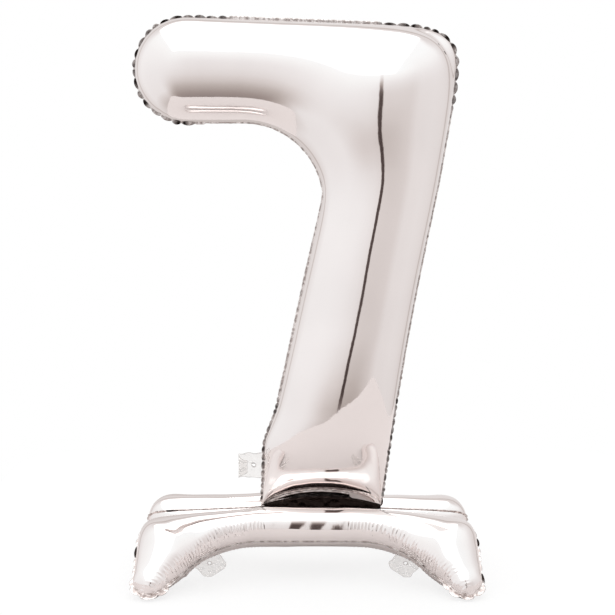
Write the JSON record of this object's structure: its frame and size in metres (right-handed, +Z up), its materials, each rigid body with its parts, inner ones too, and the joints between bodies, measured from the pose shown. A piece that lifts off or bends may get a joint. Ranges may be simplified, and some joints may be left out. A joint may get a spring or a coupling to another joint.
{
  "type": "foil number balloon",
  "caption": "Inflated silver foil figure seven that stands by itself on two splayed inflated foil arches, with clear self-sealing valve tabs.",
  "frame": {"origin": "on the floor, at the middle of the base's footprint", "axes": "+Z up, front of the figure faces -Y, +X to the viewer's right"},
  "size_m": [0.4717, 0.2696, 0.764],
  "materials": {
    "foil": "mirror-bright metallised film, warm pinkish silver",
    "sealed_foil": "heat-sealed metallised film margin, slightly dulled",
    "valve_film": "thin clear polyethylene",
    "clear_tab": "clear crinkled film"
  },
  "bodies": {
    "number": {"number_front_panel": "foil", "number_rear_panel": "foil", "number_seal_band": "sealed_foil", "number_base_web": "sealed_foil", "number_valve_front_film": "valve_film", "number_valve_rear_film": "valve_film"},
    "number_tab": {"number_valve_tab": "clear_tab"},
    "front_arch": {"front_arch_outer_panel": "foil", "front_arch_inner_panel": "foil", "front_arch_seal_band": "sealed_foil", "front_arch_left_valve_outer_film": "valve_film", "front_arch_left_valve_inner_film": "valve_film", "front_arch_right_valve_outer_film": "valve_film", "front_arch_right_valve_inner_film": "valve_film"},
    "front_arch_left_tab": {"front_arch_left_valve_tab": "clear_tab"},
    "front_arch_right_tab": {"front_arch_right_valve_tab": "clear_tab"},
    "rear_arch": {"rear_arch_outer_panel": "foil", "rear_arch_inner_panel": "foil", "rear_arch_seal_band": "sealed_foil", "rear_arch_left_valve_outer_film": "valve_film", "rear_arch_left_valve_inner_film": "valve_film", "rear_arch_right_valve_outer_film": "valve_film", "rear_arch_right_valve_inner_film": "valve_film"},
    "rear_arch_left_tab": {"rear_arch_left_valve_tab": "clear_tab"},
    "rear_arch_right_tab": {"rear_arch_right_valve_tab": "clear_tab"}
  },
  "joints": [
    {"name": "front_arch_splay", "type": "hinge", "parent": "number", "child": "front_arch", "pos_m": [0, -0.0007, 0.08799], "axis": [1, 0, 0], "range_deg": [-8, 20], "stiffness_Nm_per_rad": 1.5},
    {"name": "rear_arch_splay", "type": "hinge", "parent": "number", "child": "rear_arch", "pos_m": [0, 0.0007, 0.08799], "axis": [-1, 0, 0], "range_deg": [-8, 20], "stiffness_Nm_per_rad": 1.5},
    {"name": "number_tab_flex", "type": "hinge", "parent": "number", "child": "number_tab", "pos_m": [-0.06728, 0, 0.148], "axis": [0, 0, 1], "range_deg": [-75, 75], "stiffness_Nm_per_rad": 0.002},
    {"name": "front_arch_left_tab_flex", "type": "hinge", "parent": "front_arch", "child": "front_arch_left_tab", "pos_m": [-0.13476, -0.08171, 0.03932], "axis": [0.7771, 0.5193, 0.3555], "range_deg": [-40, 60], "stiffness_Nm_per_rad": 0.002},
    {"name": "front_arch_right_tab_flex", "type": "hinge", "parent": "front_arch", "child": "front_arch_right_tab", "pos_m": [0.13476, -0.08171, 0.03932], "axis": [0.7771, -0.5193, -0.3555], "range_deg": [-40, 60], "stiffness_Nm_per_rad": 0.002},
    {"name": "rear_arch_left_tab_flex", "type": "hinge", "parent": "rear_arch", "child": "rear_arch_left_tab", "pos_m": [0.13476, 0.08171, 0.03932], "axis": [-0.7771, -0.5193, 0.3555], "range_deg": [-40, 60], "stiffness_Nm_per_rad": 0.002},
    {"name": "rear_arch_right_tab_flex", "type": "hinge", "parent": "rear_arch", "child": "rear_arch_right_tab", "pos_m": [-0.13476, 0.08171, 0.03932], "axis": [-0.7771, 0.5193, -0.3555], "range_deg": [-40, 60], "stiffness_Nm_per_rad": 0.002}
  ]
}
